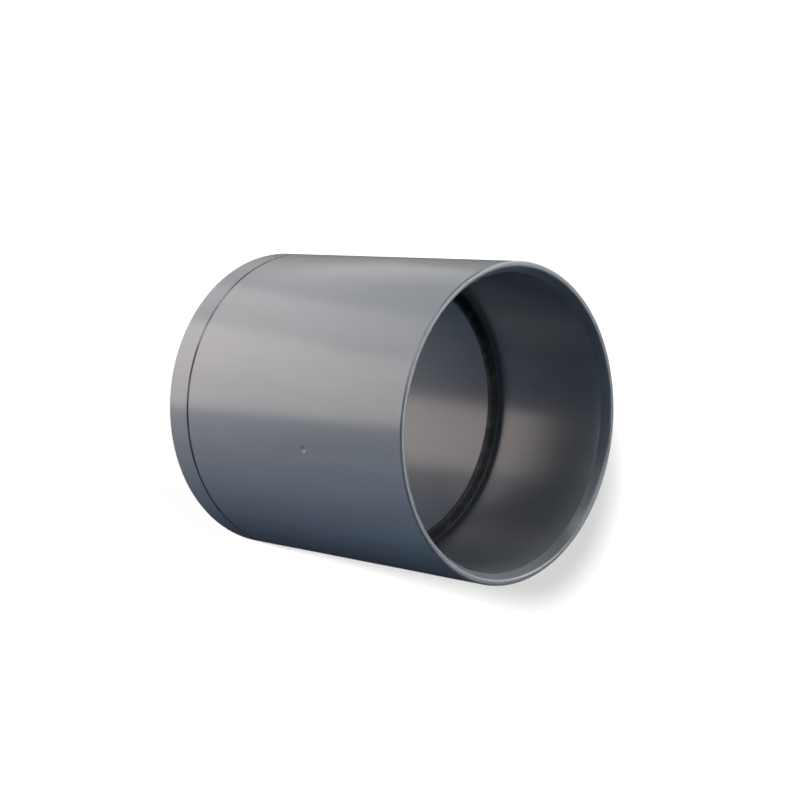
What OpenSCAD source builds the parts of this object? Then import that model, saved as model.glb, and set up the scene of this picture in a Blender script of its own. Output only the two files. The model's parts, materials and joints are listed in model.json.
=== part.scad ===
// Straight coupling for rigid plastic duct, moulded in one piece.
// Two plain sockets meet at a stop ring, and the axis stands along Z.

/* [Pipe fit] */
// Outside diameter of the pipe that the sockets take
pipe_d = 114.3; // [60.3:0.1:168.3]
// Gap between the pipe and the socket wall, on each side
pipe_gap = 0.15; // [0.05:0.05:0.4]

/* [Body] */
// Wall thickness of the sockets
wall = 4.2; // [3.2:0.1:8]
// Depth that the pipe enters on each side, up to the stop ring
socket_len = 58; // [40:1:90]
// Length of the skirt between the witness groove and the lower end
skirt_len = 11.6; // [6:0.2:25]

/* [Stop ring] */
// Thickness of the ring along the axis
stop_w = 2.4; // [2:0.1:6]
// Height of the ring above the socket wall
stop_h = 4.5; // [2:0.1:8]
// Rounding of the ring's inner edges
stop_nose_r = 0.7; // [0.2:0.1:0.9]
// Fillet where the ring's faces meet the socket wall
stop_root_r = 0.4; // [0.2:0.1:0.8]

/* [Mouths] */
// Radial height of the lead-in bevel
lead_in_h = 2; // [0.5:0.1:2.2]
// Length of the lead-in bevel along the axis
lead_in_len = 3.5; // [1:0.1:6]
// Rounding of the outer edge at both ends
rim_r = 0.8; // [0.2:0.1:0.8]

/* [Witness groove] */
// Width of the groove at the surface
groove_w = 1; // [0.6:0.1:2]
// Depth of the groove
groove_depth = 0.3; // [0.1:0.05:0.5]

/* [Gate mark] */
// Diameter of the dimple left by the moulding gate
gate_d = 2.8; // [2:0.1:5]
// Depth of the dimple
gate_depth = 0.4; // [0.2:0.05:0.7]
// Height of the dimple above the stop ring's upper face
gate_rise = 6.6; // [0:0.1:30]
// Direction of the dimple round the axis, in degrees from +X
gate_turn = -73.4; // [-180:0.1:180]

/* [Hidden] */

$fn = 180;
// How far a cutting shape runs past the surface that it cuts
over = 1;

bore_r = pipe_d / 2 + pipe_gap;
outer_r = bore_r + wall;
stop_z = skirt_len + socket_len;
body_len = stop_z + stop_w + socket_len;
gate_z = stop_z + stop_w + gate_rise;
// Radius of the ball whose cap is the dimple
gate_ball_r = (gate_d * gate_d / 4 + gate_depth * gate_depth) / (2 * gate_depth);

pvc_grey = [0.5, 0.52, 0.53];

// The waste between a square corner at the origin and an arc of radius r, in the +X +Y quarter
module corner_waste(r) {
    difference() {
        translate([-over, -over])
            square(r + over);
        translate([r, r])
            circle(r);
    }
}

// One mouth at height 0 with the wall above it: lead-in bevel inside, rounded edge outside
module mouth_waste() {
    slope = lead_in_len / lead_in_h;
    polygon([
        [bore_r - over, -over],
        [bore_r + lead_in_h + over / slope, -over],
        [bore_r, lead_in_len],
        [bore_r - over, lead_in_len]
    ]);
    translate([outer_r, 0])
        mirror([1, 0])
            corner_waste(rim_r);
}

// Shallow V round the outside, where the skirt meets the body
module groove_waste() {
    reach = 1 + over / groove_depth;
    translate([outer_r, skirt_len])
        polygon([
            [over, -groove_w / 2 * reach],
            [-groove_depth, 0],
            [over, groove_w / 2 * reach]
        ]);
}

// Half of the stop ring's section, from its middle plane up
module half_stop() {
    half_w = stop_w / 2;
    difference() {
        translate([bore_r - stop_h, 0])
            square([stop_h + wall / 2, half_w]);
        translate([bore_r - stop_h, half_w])
            mirror([0, 1])
                corner_waste(stop_nose_r);
    }
    translate([bore_r, half_w])
        mirror([1, 0])
            difference() {
                translate([-wall / 2, 0])
                    square([wall / 2 + stop_root_r, stop_root_r]);
                translate([stop_root_r, stop_root_r])
                    circle(stop_root_r);
            }
}

// Section of the whole wall, to the right of the axis
module wall_section() {
    difference() {
        translate([bore_r, 0])
            square([wall, body_len]);
        mouth_waste();
        translate([0, body_len])
            mirror([0, 1])
                mouth_waste();
        groove_waste();
    }
    translate([0, stop_z + stop_w / 2]) {
        half_stop();
        mirror([0, 1])
            half_stop();
    }
}

// Ball that leaves the gate dimple in the outer surface
module gate_ball() {
    rotate([0, 0, gate_turn])
        translate([outer_r + gate_ball_r - gate_depth, 0, gate_z])
            sphere(gate_ball_r);
}

module coupling() {
    color(pvc_grey)
        difference() {
            rotate_extrude()
                wall_section();
            gate_ball();
        }
}

coupling();
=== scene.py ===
import json
import math

import bpy
import numpy as np
from mathutils import Matrix, Vector


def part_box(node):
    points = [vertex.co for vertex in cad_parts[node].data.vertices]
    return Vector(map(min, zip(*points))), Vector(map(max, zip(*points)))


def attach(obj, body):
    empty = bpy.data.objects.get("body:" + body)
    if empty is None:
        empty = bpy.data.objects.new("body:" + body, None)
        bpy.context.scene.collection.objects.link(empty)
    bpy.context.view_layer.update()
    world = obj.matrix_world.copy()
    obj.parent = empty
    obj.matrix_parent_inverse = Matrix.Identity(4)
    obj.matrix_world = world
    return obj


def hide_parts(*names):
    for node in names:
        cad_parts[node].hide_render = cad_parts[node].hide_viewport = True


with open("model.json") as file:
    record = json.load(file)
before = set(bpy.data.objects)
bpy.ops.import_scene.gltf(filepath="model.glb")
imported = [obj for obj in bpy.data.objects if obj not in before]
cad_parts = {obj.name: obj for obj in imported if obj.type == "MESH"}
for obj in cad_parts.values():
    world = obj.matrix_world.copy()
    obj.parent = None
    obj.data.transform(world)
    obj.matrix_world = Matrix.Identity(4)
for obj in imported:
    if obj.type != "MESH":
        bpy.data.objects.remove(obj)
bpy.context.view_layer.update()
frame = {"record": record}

mm = 0.001
hair = 0.001 * mm  # less than any real gap
scene = bpy.context.scene
scene.view_settings.view_transform = "Standard"

# Measures shared with the solid come from its box and its socket mount
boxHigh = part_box("coupling")[1]
socket = next(m for m in frame["record"]["mounts"] if m["name"] == "upper_socket")
outerRadius = boxHigh.x
boreRadius = socket["dims"]["r_mm"] * mm
bodyLength = boxHigh.z
bodyMiddle = Vector((0, 0, bodyLength / 2))

# The wall's section
section = {
    "socketDepth": 58 * mm,
    "stopWidth": 2.4 * mm,
    "stopHeight": 4.5 * mm,
    "stopNose": 0.7 * mm,
    "stopRoot": 0.4 * mm,
    "leadInHeight": 2 * mm,
    "leadInLength": 3.5 * mm,
    "rimRound": 0.8 * mm,
    "lipRound": 1 * mm,       # softened corner between the end face and the bevel
    "bevelRound": 0.25 * mm,  # and between the bevel and the socket
    "grooveHeight": 11.6 * mm,
    "grooveWidth": 1 * mm,
    "grooveDepth": 0.3 * mm,
    "grooveRound": 0.08 * mm,
    "rowStep": 2 * mm,        # longest gap between rows of vertices
    "endStep": 0.15 * mm,     # short gap beside each rounded corner
    "arcSteps": 6,
    "columns": 330,
}

# The dimple left by the moulding gate
gate = {
    "turn": math.radians(-73.4),  # from +X
    "height": 78.6 * mm,
    "width": 2.8 * mm,
    "depth": 0.4 * mm,
    "patch": 2.2 * mm,        # half of the finely divided patch
    "step": 0.16 * mm,
    "clear": 0.1,             # share of a column's width that stays free beside the patch
}

# Slow unevenness of the moulded wall
swell = {
    "depth": 0.03 * mm,
    "turns": (3, 5, 8),       # waves round the axis
    "lengths": (90 * mm, 55 * mm, 38 * mm),
    "turnShift": 1.7,         # how far each wave starts after the one before it
    "heightShift": 0.9,
}


# One rounded corner: the tangent arc of the given radius between two straight sides
def cornerArc(before, corner, after, radius, steps):
    toBefore = (before - corner) / np.linalg.norm(before - corner)
    toAfter = (after - corner) / np.linalg.norm(after - corner)
    halfAngle = math.acos(float(np.clip(toBefore @ toAfter, -1, 1))) / 2
    bisector = (toBefore + toAfter) / np.linalg.norm(toBefore + toAfter)
    middle = corner + bisector * radius / math.sin(halfAngle)
    setback = radius / math.tan(halfAngle)
    start = corner + toBefore * setback - middle
    end = corner + toAfter * setback - middle
    sweep = math.pi - 2 * halfAngle
    t = np.linspace(0, 1, steps + 1)[:, None]
    return middle + (np.sin((1 - t) * sweep) * start + np.sin(t * sweep) * end) / math.sin(sweep)


# Points between the ends of a straight side: one close beside each end, the others evenly between them. A
# side shorter than three short gaps has none
def straightPoints(start, end, step, endStep):
    length = float(np.linalg.norm(end - start))
    if length < 3 * endStep:
        return np.empty((0, 2))
    inner = np.linspace(endStep, length - endStep, max(2, math.ceil(length / step)))
    return start + (end - start) * (inner / length)[:, None]


# The closed section as radius and height: its corners in order from the outer edge at the foot, each with
# its rounding, then an arc at each corner and points along each side
def wallSection(sizes):
    stopHigh = bodyLength - sizes["socketDepth"]
    stopLow = stopHigh - sizes["stopWidth"]
    noseRadius = boreRadius - sizes["stopHeight"]
    mouthRadius = boreRadius + sizes["leadInHeight"]
    groove = sizes["grooveHeight"]
    halfGroove = sizes["grooveWidth"] / 2
    corners = [
        (outerRadius, 0, sizes["rimRound"]),
        (outerRadius, groove - halfGroove, sizes["grooveRound"]),
        (outerRadius - sizes["grooveDepth"], groove, sizes["grooveRound"]),
        (outerRadius, groove + halfGroove, sizes["grooveRound"]),
        (outerRadius, bodyLength, sizes["rimRound"]),
        (mouthRadius, bodyLength, sizes["lipRound"]),
        (boreRadius, bodyLength - sizes["leadInLength"], sizes["bevelRound"]),
        (boreRadius, stopHigh, sizes["stopRoot"]),
        (noseRadius, stopHigh, sizes["stopNose"]),
        (noseRadius, stopLow, sizes["stopNose"]),
        (boreRadius, stopLow, sizes["stopRoot"]),
        (boreRadius, sizes["leadInLength"], sizes["bevelRound"]),
        (mouthRadius, 0, sizes["lipRound"]),
    ]
    points = [np.array(corner[:2], float) for corner in corners]
    count = len(points)
    arcs = [
        cornerArc(points[i - 1], points[i], points[(i + 1) % count], corners[i][2], sizes["arcSteps"])
        for i in range(count)
    ]
    rows = []
    straight = []
    for i, arc in enumerate(arcs):
        side = straightPoints(arc[-1], arcs[(i + 1) % count][0], sizes["rowStep"], sizes["endStep"])
        rows += [arc, side]
        straight += [np.zeros(len(arc), bool), np.ones(len(side), bool)]
    return np.concatenate(rows), np.concatenate(straight)


# Rows of the outer wall beside the gate give way to evenly spaced ones at the patch's own step
def addGateRows(outline, straight):
    onOuter = straight & (outline[:, 0] > outerRadius - hair)
    inPatch = onOuter & (np.abs(outline[:, 1] - gate["height"]) < gate["patch"])
    before = int(np.flatnonzero(onOuter & (outline[:, 1] < gate["height"] - gate["patch"]))[-1]) + 1
    fine = np.arange(-gate["patch"], gate["patch"] + gate["step"] / 2, gate["step"]) + gate["height"]
    patch = np.column_stack([np.full(len(fine), outerRadius), fine])
    kept = ~inPatch[before:]
    rows = np.concatenate([outline[:before], patch, outline[before:][kept]])
    flags = np.concatenate([straight[:before], np.ones(len(fine), bool), straight[before:][kept]])
    return rows, flags


# Angles of the columns, measured from the gate: even all round, and at the patch's step beside the gate
def columnAngles():
    even = np.linspace(-np.pi, np.pi, section["columns"], endpoint=False)
    width = 2 * np.pi / section["columns"]
    half = gate["patch"] / outerRadius
    fine = np.arange(-half, half, gate["step"] / outerRadius)
    away = np.abs(even) > half + gate["clear"] * width
    return np.sort(np.concatenate([even[away], fine]))


# Depth of the dimple at a distance from its middle: the cap of a ball, and nothing outside its width
def dimpleDepth(distance):
    half = gate["width"] / 2
    depth = gate["depth"]
    ball = (half ** 2 + depth ** 2) / (2 * depth)
    return np.maximum(np.sqrt(np.maximum(ball ** 2 - distance ** 2, 0)) - (ball - depth), 0)


# How far the surface sinks in slow waves: a sum of products of sines of the angle and the height
def swellDepth(angle, height):
    total = 0
    for k, (turns, length) in enumerate(zip(swell["turns"], swell["lengths"])):
        aroundWave = np.sin(turns * angle + swell["turnShift"] * k)
        total = total + aroundWave * np.sin(2 * np.pi * height / length + swell["heightShift"] * k)
    return (1 - total / len(swell["turns"])) * swell["depth"] / 2


# A grid that closes on itself both ways, as quads that face outwards
def addGrid(name, points):
    rows, columns = points.shape[:2]
    i, j = np.meshgrid(np.arange(rows), np.arange(columns), indexing="ij")
    above = (i + 1) % rows
    beside = (j + 1) % columns
    corners = [i * columns + j, i * columns + beside, above * columns + beside, above * columns + j]
    quads = np.stack(corners, axis=2)
    mesh = bpy.data.meshes.new(name)
    mesh.from_pydata(points.reshape(-1, 3).tolist(), [], quads.reshape(-1, 4).tolist())
    mesh.polygons.foreach_set("use_smooth", np.ones(rows * columns, bool))
    mesh.update()
    piece = bpy.data.objects.new(name, mesh)
    scene.collection.objects.link(piece)
    return piece


# The whole wall: the section carried round the axis, less the swell on its straight sides and the dimple
def makeWall():
    outline, straight = addGateRows(*wallSection(section))
    radius = outline[:, :1]
    height = outline[:, 1:]
    around = columnAngles()[None, :]
    turn = around + gate["turn"]
    outwards = np.sign(radius - (outerRadius + boreRadius) / 2)
    sink = swellDepth(turn, height) * straight[:, None]
    distance = np.hypot(around * outerRadius, height - gate["height"])
    dent = dimpleDepth(distance) * (radius > outerRadius - hair)
    r = radius - sink * outwards - dent
    points = np.stack([r * np.cos(turn), r * np.sin(turn), np.broadcast_to(height, r.shape)], axis=2)
    return addGrid("couplingWall", points)


print("making the wall")
wall = makeWall()


# A node with its settings given by name and its inputs by number or name, as values or sockets
def addNode(tree, kind, inputs=None, **settings):
    node = tree.nodes.new("ShaderNode" + kind)
    for name, value in settings.items():
        setattr(node, name, value)
    for key, value in (inputs or {}).items():
        if isinstance(value, bpy.types.NodeSocket):
            tree.links.new(value, node.inputs[key])
        else:
            node.inputs[key].default_value = value
    return node


# One step of arithmetic on one or two sockets or numbers
def calculate(tree, operation, a, b=0.0):
    return addNode(tree, "Math", {0: a, 1: b}, operation=operation).outputs[0]


# A smooth rise from one value to another while the input goes between two limits
def ramp(tree, value, low, high, fromValue=0.0, toValue=1.0):
    inputs = {"Value": value, "From Min": low, "From Max": high, "To Min": fromValue, "To Max": toValue}
    return addNode(tree, "MapRange", inputs, interpolation_type="SMOOTHSTEP").outputs["Result"]


# Noise over coordinates that are first scaled by the pattern's waves per metre
def noise(tree, place, pattern):
    scaled = addNode(tree, "VectorMath", {0: place, 1: pattern["scales"]}, operation="MULTIPLY")
    inputs = {
        "Vector": scaled.outputs["Vector"],
        "Scale": 1.0,
        "Detail": pattern["detail"],
        "Roughness": pattern["roughness"],
    }
    return addNode(tree, "TexNoise", inputs).outputs["Fac"]


# A material with its Principled shader
def newMaterial(name):
    material = bpy.data.materials.new(name)
    material.use_nodes = True
    return material, material.node_tree, material.node_tree.nodes["Principled BSDF"]


# Grey rigid plastic, in real lengths
pvc = {
    "light": (0.222, 0.232, 0.24, 1),
    "dark": (0.192, 0.203, 0.213, 1),
    "streakShare": 0.65,      # of the streaks in the mix of light and dark, beside the mottle
    "ior": 1.53,
    "glossiest": 0.2,         # roughness where the tool's polish shows
    "dullest": 0.25,
    "scuffed": 0.27,
    "darkened": 0.7,             # on the stop ring
    "waveHeight": 0.3 * mm,
    "peelHeight": 0.012 * mm,
    "scratchHeight": 0.008 * mm,
}

# Patterns in the plastic: waves per metre in each direction, and the limits between which the noise counts
patterns = {
    # flow marks, long along the axis
    "streaks": {"scales": (55, 55, 9), "detail": 3.0, "roughness": 0.55, "limits": (0.3, 0.7)},
    "mottle": {"scales": (140, 140, 140), "detail": 3.0, "roughness": 0.6, "limits": (0.2, 0.6)},
    "polish": {"scales": (18, 18, 14), "detail": 3.0, "roughness": 0.5, "limits": (0.35, 0.65)},
    "scuffs": {"scales": (300, 90, 45), "detail": 4.0, "roughness": 0.65, "limits": (0.6, 0.72)},
    # slow waves that bend the mirrored room
    "waves": {"scales": (26, 26, 20), "detail": 1.0, "roughness": 0.5},
    # fine orange peel
    "peel": {"scales": (260, 260, 230), "detail": 1.0, "roughness": 0.5},
    "scratches": {"scales": (2600, 2600, 90), "detail": 1.0, "roughness": 0.5, "limits": (0.68, 0.78)},
}

# A near-black colour in the witness groove and on the stop ring. It grows from none to full between two
# distances
darkening = {
    "colour": (0.018, 0.018, 0.021, 1),
    "fromGroove": (0.95 * mm, 0.2 * mm),       # along the axis from the groove's middle
    "underSurface": (1 * mm, 0.5 * mm),        # under the outer surface
    "fromRing": (1.6 * mm, 1.2 * mm),          # along the axis from the ring's middle
    "outsideBore": (0.3 * mm, -0.1 * mm),      # into the wall from the bore's surface
    "thinnest": 0.7,          # its cover where the mottle is low
}


# Where the colour is darkened, as two masks: each is the nearness along the axis times the nearness in
# radius
def darkeningMasks(tree, place):
    parts = addNode(tree, "SeparateXYZ", {0: place}).outputs
    flat = calculate(tree, "MULTIPLY", parts[0], parts[0])
    flat = calculate(tree, "ADD", flat, calculate(tree, "MULTIPLY", parts[1], parts[1]))
    radius = calculate(tree, "SQRT", flat)
    stopMiddle = bodyLength - section["socketDepth"] - section["stopWidth"] / 2

    # The darkening beside one height
    def mask(height, reach, radii):
        distance = calculate(tree, "ABSOLUTE", calculate(tree, "SUBTRACT", parts[2], height))
        nearHeight = ramp(tree, distance, *reach)
        nearRadius = ramp(tree, radius, *radii)
        return calculate(tree, "MULTIPLY", nearHeight, nearRadius)

    grooveRadii = [outerRadius - depth for depth in darkening["underSurface"]]
    ringRadii = [boreRadius + distance for distance in darkening["outsideBore"]]
    groove = mask(section["grooveHeight"], darkening["fromGroove"], grooveRadii)
    ring = mask(stopMiddle, darkening["fromRing"], ringRadii)
    return groove, ring


# Colour: flow marks between the light and the dark grey, a fine mottle, and the near-black darkening over
# them
def pvcColour(tree, place, darkened):
    streaks = ramp(tree, noise(tree, place, patterns["streaks"]), *patterns["streaks"]["limits"])
    mottle = noise(tree, place, patterns["mottle"])
    share = pvc["streakShare"]
    streaksPart = calculate(tree, "MULTIPLY", streaks, share)
    mix = calculate(tree, "ADD", streaksPart, calculate(tree, "MULTIPLY", mottle, 1 - share))
    grey = addNode(tree, "Mix", {0: mix, 6: pvc["light"], 7: pvc["dark"]}, data_type="RGBA").outputs[2]
    cover = ramp(tree, mottle, *patterns["mottle"]["limits"], darkening["thinnest"], 1.0)
    cover = calculate(tree, "MULTIPLY", darkened, cover)
    return addNode(tree, "Mix", {0: cover, 6: grey, 7: darkening["colour"]}, data_type="RGBA").outputs[2]


# Roughness: slow changes of polish, scuffs where a stretched noise peaks, and a dull, darkened stop ring
def pvcRoughness(tree, place, ring):
    polish = noise(tree, place, patterns["polish"])
    polish = ramp(tree, polish, *patterns["polish"]["limits"], pvc["glossiest"], pvc["dullest"])
    scuffs = ramp(tree, noise(tree, place, patterns["scuffs"]), *patterns["scuffs"]["limits"])
    plastic = addNode(tree, "Mix", {0: scuffs, 2: polish, 3: pvc["scuffed"]}).outputs[0]
    return addNode(tree, "Mix", {0: ring, 2: plastic, 3: pvc["darkened"]}).outputs[0]


# Height: the sum of slow waves, orange peel and hairline scratches
def pvcHeight(tree, place):
    waves = calculate(tree, "MULTIPLY", noise(tree, place, patterns["waves"]), pvc["waveHeight"])
    peel = calculate(tree, "MULTIPLY", noise(tree, place, patterns["peel"]), pvc["peelHeight"])
    lines = noise(tree, place, patterns["scratches"])
    lines = ramp(tree, lines, *patterns["scratches"]["limits"], 0.0, -pvc["scratchHeight"])
    return calculate(tree, "ADD", calculate(tree, "ADD", waves, peel), lines)


# The plastic: colour, roughness and height over the piece's own coordinates
def makePvc():
    material, tree, shader = newMaterial("greyPvc")
    place = addNode(tree, "TexCoord").outputs["Object"]
    groove, ring = darkeningMasks(tree, place)
    # The groove and the stop ring take the near-black colour
    darkened = calculate(tree, "MAXIMUM", groove, ring)
    bump = addNode(tree, "Bump", {"Distance": 1.0, "Height": pvcHeight(tree, place)})
    tree.links.new(pvcColour(tree, place, darkened), shader.inputs["Base Color"])
    tree.links.new(pvcRoughness(tree, place, ring), shader.inputs["Roughness"])
    tree.links.new(bump.outputs["Normal"], shader.inputs["Normal"])
    shader.inputs["IOR"].default_value = pvc["ior"]
    return material


print("making the plastic")
wall.data.materials.append(makePvc())
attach(wall, "root")
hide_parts("coupling")


# The photograph's camera: its direction on the object, and its turn about the line of sight
cameraView = {
    "elevation": math.radians(43.86),
    "roll": math.radians(96.06),
    "distance": 733.9 * mm,
    "lens": 82.17,
    "right": -3.47 * mm,      # where the object's middle lies in the view
    "down": 4.15 * mm,
    "clipEnd": 20,
}


# The picture's right, up and towards the viewer, from the elevation and the roll
def viewAxes():
    rise = Vector((0, math.sin(cameraView["elevation"]), math.cos(cameraView["elevation"])))
    back = Vector((0, -rise.z, rise.y))
    level = Vector((1, 0, 0))
    roll = cameraView["roll"]
    right = level * math.cos(roll) + rise * math.sin(roll)
    up = rise * math.cos(roll) - level * math.sin(roll)
    return right, up, back


right, up, back = viewAxes()


# A direction or place in the picture's measures, turned into the part's
def fromPicture(measures):
    return right * measures[0] + up * measures[1] + back * measures[2]


# The camera, at its distance from the part's middle, and shifted so that this lies off centre in the view
def makeCamera():
    data = bpy.data.cameras.new("camera")
    data.lens = cameraView["lens"]
    data.clip_end = cameraView["clipEnd"]
    camera = bpy.data.objects.new("camera", data)
    place = bodyMiddle + back * cameraView["distance"]
    place += up * cameraView["down"] - right * cameraView["right"]
    camera.matrix_world = Matrix.Translation(place) @ Matrix((right, up, back)).transposed().to_4x4()
    scene.collection.objects.link(camera)
    scene.camera = camera


print("placing the camera")
makeCamera()

# Floor and backdrop, white for the camera
studio = {
    "radius": 6.0,
    "floorColour": (0.5, 0.5, 0.5, 1),
    "floorGlow": (0.38, 0.36, 0.34, 1),
    "floorSides": 64,
    "backdropColour": (0, 0, 0, 1),
    "backdropGlow": (1, 1, 1, 1),
    "backdropRows": 16,
    "backdropColumns": 48,
    "backdropFoot": -0.02,    # its lowest row's angle, a little under the horizon
}


# A piece of the studio: the camera sees it, and the part is neither lit nor mirrored by it
def addStage(name, points, faces, colour, glow):
    mesh = bpy.data.meshes.new(name)
    mesh.from_pydata(points, [], faces)
    piece = bpy.data.objects.new(name, mesh)
    scene.collection.objects.link(piece)
    material, tree, shader = newMaterial(name + "White")
    shader.inputs["Base Color"].default_value = colour
    shader.inputs["Roughness"].default_value = 1
    shader.inputs["Specular IOR Level"].default_value = 0
    shader.inputs["Emission Color"].default_value = glow
    shader.inputs["Emission Strength"].default_value = 1
    mesh.materials.append(material)
    piece.visible_glossy = False
    piece.visible_diffuse = False
    piece.visible_transmission = False
    piece.visible_shadow = False
    return piece


# A flat disc: cosine and sine of evenly spaced angles
def makeFloor():
    sides = studio["floorSides"]
    turns = np.linspace(0, 2 * np.pi, sides, endpoint=False)
    rim = np.column_stack([np.cos(turns), np.sin(turns), np.zeros(sides)]) * studio["radius"]
    return addStage("floor", rim.tolist(), [list(range(sides))], studio["floorColour"], studio["floorGlow"])


# A half ball over the floor: the cosine of the height's angle round the axis, and its sine upwards
def makeBackdrop():
    rows = studio["backdropRows"]
    columns = studio["backdropColumns"]
    lift = np.linspace(studio["backdropFoot"], np.pi / 2, rows)[:, None]
    turn = np.linspace(0, 2 * np.pi, columns, endpoint=False)[None, :]
    height = np.broadcast_to(np.sin(lift), (rows, columns))
    ball = np.stack([np.cos(lift) * np.cos(turn), np.cos(lift) * np.sin(turn), height], axis=2)
    i, j = np.meshgrid(np.arange(rows - 1), np.arange(columns), indexing="ij")
    beside = (j + 1) % columns
    corners = [i * columns + j, (i + 1) * columns + j, (i + 1) * columns + beside, i * columns + beside]
    points = (ball * studio["radius"]).reshape(-1, 3).tolist()
    faces = np.stack(corners, axis=2).reshape(-1, 4).tolist()
    return addStage("backdrop", points, faces, studio["backdropColour"], studio["backdropGlow"])


print("making the floor and the backdrop")
floor = makeFloor()
makeBackdrop()

# Suns, by the direction that they come from in the picture's measures, with their spread in degrees
white = (1, 1, 1)
cream = (1, 0.98, 0.94)
warm = (1, 0.95, 0.87)
suns = {
    "topSun": {"on": wall, "from": (-0.15, 0.9, 0.36), "strength": 0.5, "spread": 22, "colour": cream},
    "keySun": {"on": wall, "from": (-0.5, 0.64, 0.58), "strength": 0.85, "spread": 16, "colour": warm},
    "fillSun": {"on": wall, "from": (-0.72, 0.2, 0.62), "strength": 0.55, "spread": 15, "colour": white},
    "floorSun": {"on": floor, "from": (-0.135, 0.16, 1), "strength": 6.5, "spread": 6, "colour": white},
    "backSun": {"on": wall, "from": (0.6, 0.4, -0.69), "strength": 0.9, "spread": 25, "colour": white},
    "lowSun": {"on": wall, "from": (0.4, -0.5, -0.77), "strength": 0.8, "spread": 25, "colour": white},
    "rimSun": {"on": wall, "from": (0.3, 0.48, 0.82), "strength": 2, "spread": 46, "colour": white},
}

# Lit boards near the part, by a corner and two sides in the picture's measures, from the part's middle. A
# brightness of 1 shows as white
boards = {
    "leftBoard": {
        "corner": (-325 * mm, -14 * mm, -125 * mm),
        "across": (0, 0, 270 * mm),
        "along": (0, 252 * mm, 0),
        "colour": (1, 0.85, 0.75),
        "brightness": 2.4,
    },
    "topBoard": {
        "corner": (-224 * mm, 150 * mm, -44 * mm),
        "across": (83 * mm, 0, 182 * mm),
        "along": (96 * mm, 0, -43 * mm),
        "colour": (1, 0.93, 0.85),
        "brightness": 1.3,
    },
    "farBoard": {
        "corner": (-128 * mm, 150 * mm, -87 * mm),
        "across": (83 * mm, 0, 182 * mm),
        "along": (114 * mm, 0, -51 * mm),
        "colour": (1, 0.94, 0.87),
        "brightness": 0.48,
    },
}
powerSpread = 4  # an area lamp's power is shared out over four times its area


# Light reaches only the receiver
def linkLamp(lamp, receiver):
    scene.collection.objects.link(lamp)
    group = bpy.data.collections.new(lamp.name + "Receiver")
    group.objects.link(receiver)
    lamp.light_linking.receiver_collection = group


# A sun, turned so that its own Z points to where its light comes from
def addSun(name, sun):
    data = bpy.data.lights.new(name, "SUN")
    data.energy = sun["strength"]
    data.angle = math.radians(sun["spread"])
    data.color = sun["colour"]
    lamp = bpy.data.objects.new(name, data)
    lamp.rotation_euler = fromPicture(sun["from"]).to_track_quat("Z", "Y").to_euler()
    linkLamp(lamp, sun["on"])
    return lamp


# A lit rectangle that faces away from the cross product of its sides
def addBoard(name, board):
    across = fromPicture(board["across"])
    along = fromPicture(board["along"])
    data = bpy.data.lights.new(name, "AREA")
    data.shape = "RECTANGLE"
    data.size = across.length
    data.size_y = along.length
    data.energy = board["brightness"] * powerSpread * across.length * along.length
    data.color = board["colour"]
    lamp = bpy.data.objects.new(name, data)
    middle = bodyMiddle + fromPicture(board["corner"]) + (across + along) / 2
    axes = (across.normalized(), along.normalized(), across.cross(along).normalized())
    lamp.matrix_world = Matrix.Translation(middle) @ Matrix(axes).transposed().to_4x4()
    lamp.visible_camera = False
    linkLamp(lamp, wall)


print("lighting")
lamps = {name: addSun(name, sun) for name, sun in suns.items()}
lamps["backSun"].visible_glossy = False  # these two light the hidden side and aren't mirrored
lamps["lowSun"].visible_glossy = False
lamps["rimSun"].visible_diffuse = False  # it only shines in the rounded edge of the mouth
for name, board in boards.items():
    addBoard(name, board)

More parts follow.
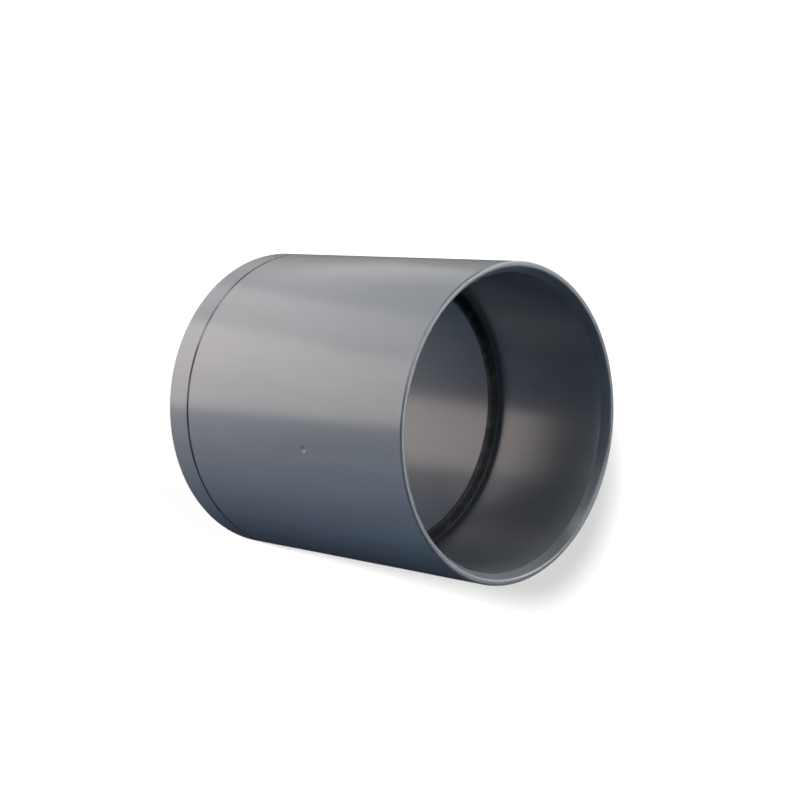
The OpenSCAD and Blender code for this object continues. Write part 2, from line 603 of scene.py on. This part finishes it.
# The room that the wall mirrors. Each light has a colour and fades, which multiply: a fade grows from the
# first to the second value of one measure of the direction, from nothing to all of the light, or from the
# third to the fourth value where it has them
windowDirection = (0.72, 0.57, -0.4)
room = {
    # far on the right, mirrored by the near end face
    "lamp": {
        "colour": (9.2, 9.4, 9.3),
        "fades": [
            ("sideways", 0.85, 0.95),
            ("viewerwards", -0.1, -0.05),
            ("viewerwards", 0.25, 0.15),
            ("upwards", -0.15, -0.06, 0.28, 1.0),
            ("upwards", -0.4, -0.25),
        ],
    },
    # behind the part, on the left
    "ceiling": {
        "colour": (0.55, 0.54, 0.52),
        "fades": [
            ("upwards", 0.2, 0.35),
            ("sideways", 0.3, 0.05),
            ("viewerwards", -0.62, -0.74),
            ("viewerwards", -1.2, -0.5),
        ],
    },
    # behind the part, on the right
    "window": {
        "colour": (3.2, 3.2, 3.1),
        "fades": [("windowwards", 0.86, 0.93)],
    },
    # the bluish left and lower side, fading behind the part and close to the viewer
    "shade": {
        "colour": (0.075, 0.16, 0.3),
        "fades": [
            ("viewerwards", -0.95, -0.3),
            ("viewerwards", 0.98, 0.6, 0.4, 1.0),
            ("sideways", 0.4, -0.4, 0.3, 1.0),
            ("upwards", -0.9, -0.76),
        ],
    },
    # straight below in the picture
    "under": {
        "colour": (0.13, 0.15, 0.17),
        "fades": [("upwards", -0.76, -0.9)],
    },
    # a soft glow behind the part, on the right
    "behind": {
        "colour": (0.4, 0.42, 0.43),
        "fades": [("sideways", 0.0, 0.3), ("viewerwards", -0.3, -0.6)],
    },
}


# The world: the sum of the room's lights, each its colour times all its fades
def makeRoom():
    world = bpy.data.worlds.new("room")
    scene.world = world
    world.use_nodes = True
    tree = world.node_tree
    direction = addNode(tree, "TexCoord").outputs["Generated"]

    # How far the direction points along an axis
    def along(axis):
        product = addNode(tree, "VectorMath", {0: direction, 1: axis}, operation="DOT_PRODUCT")
        return product.outputs["Value"]

    measures = {
        "sideways": along(right),
        "upwards": along(up),
        "viewerwards": along(back),
        "windowwards": along(fromPicture(windowDirection).normalized()),
    }
    total = (0, 0, 0)
    for light in room.values():
        mask = 1.0
        for measure, *limits in light["fades"]:
            mask = calculate(tree, "MULTIPLY", mask, ramp(tree, measures[measure], *limits))
        glow = addNode(tree, "VectorMath", {0: light["colour"], "Scale": mask}, operation="SCALE")
        added = addNode(tree, "VectorMath", {0: total, 1: glow.outputs["Vector"]}, operation="ADD")
        total = added.outputs["Vector"]
    tree.links.new(total, tree.nodes["Background"].inputs["Color"])


makeRoom()
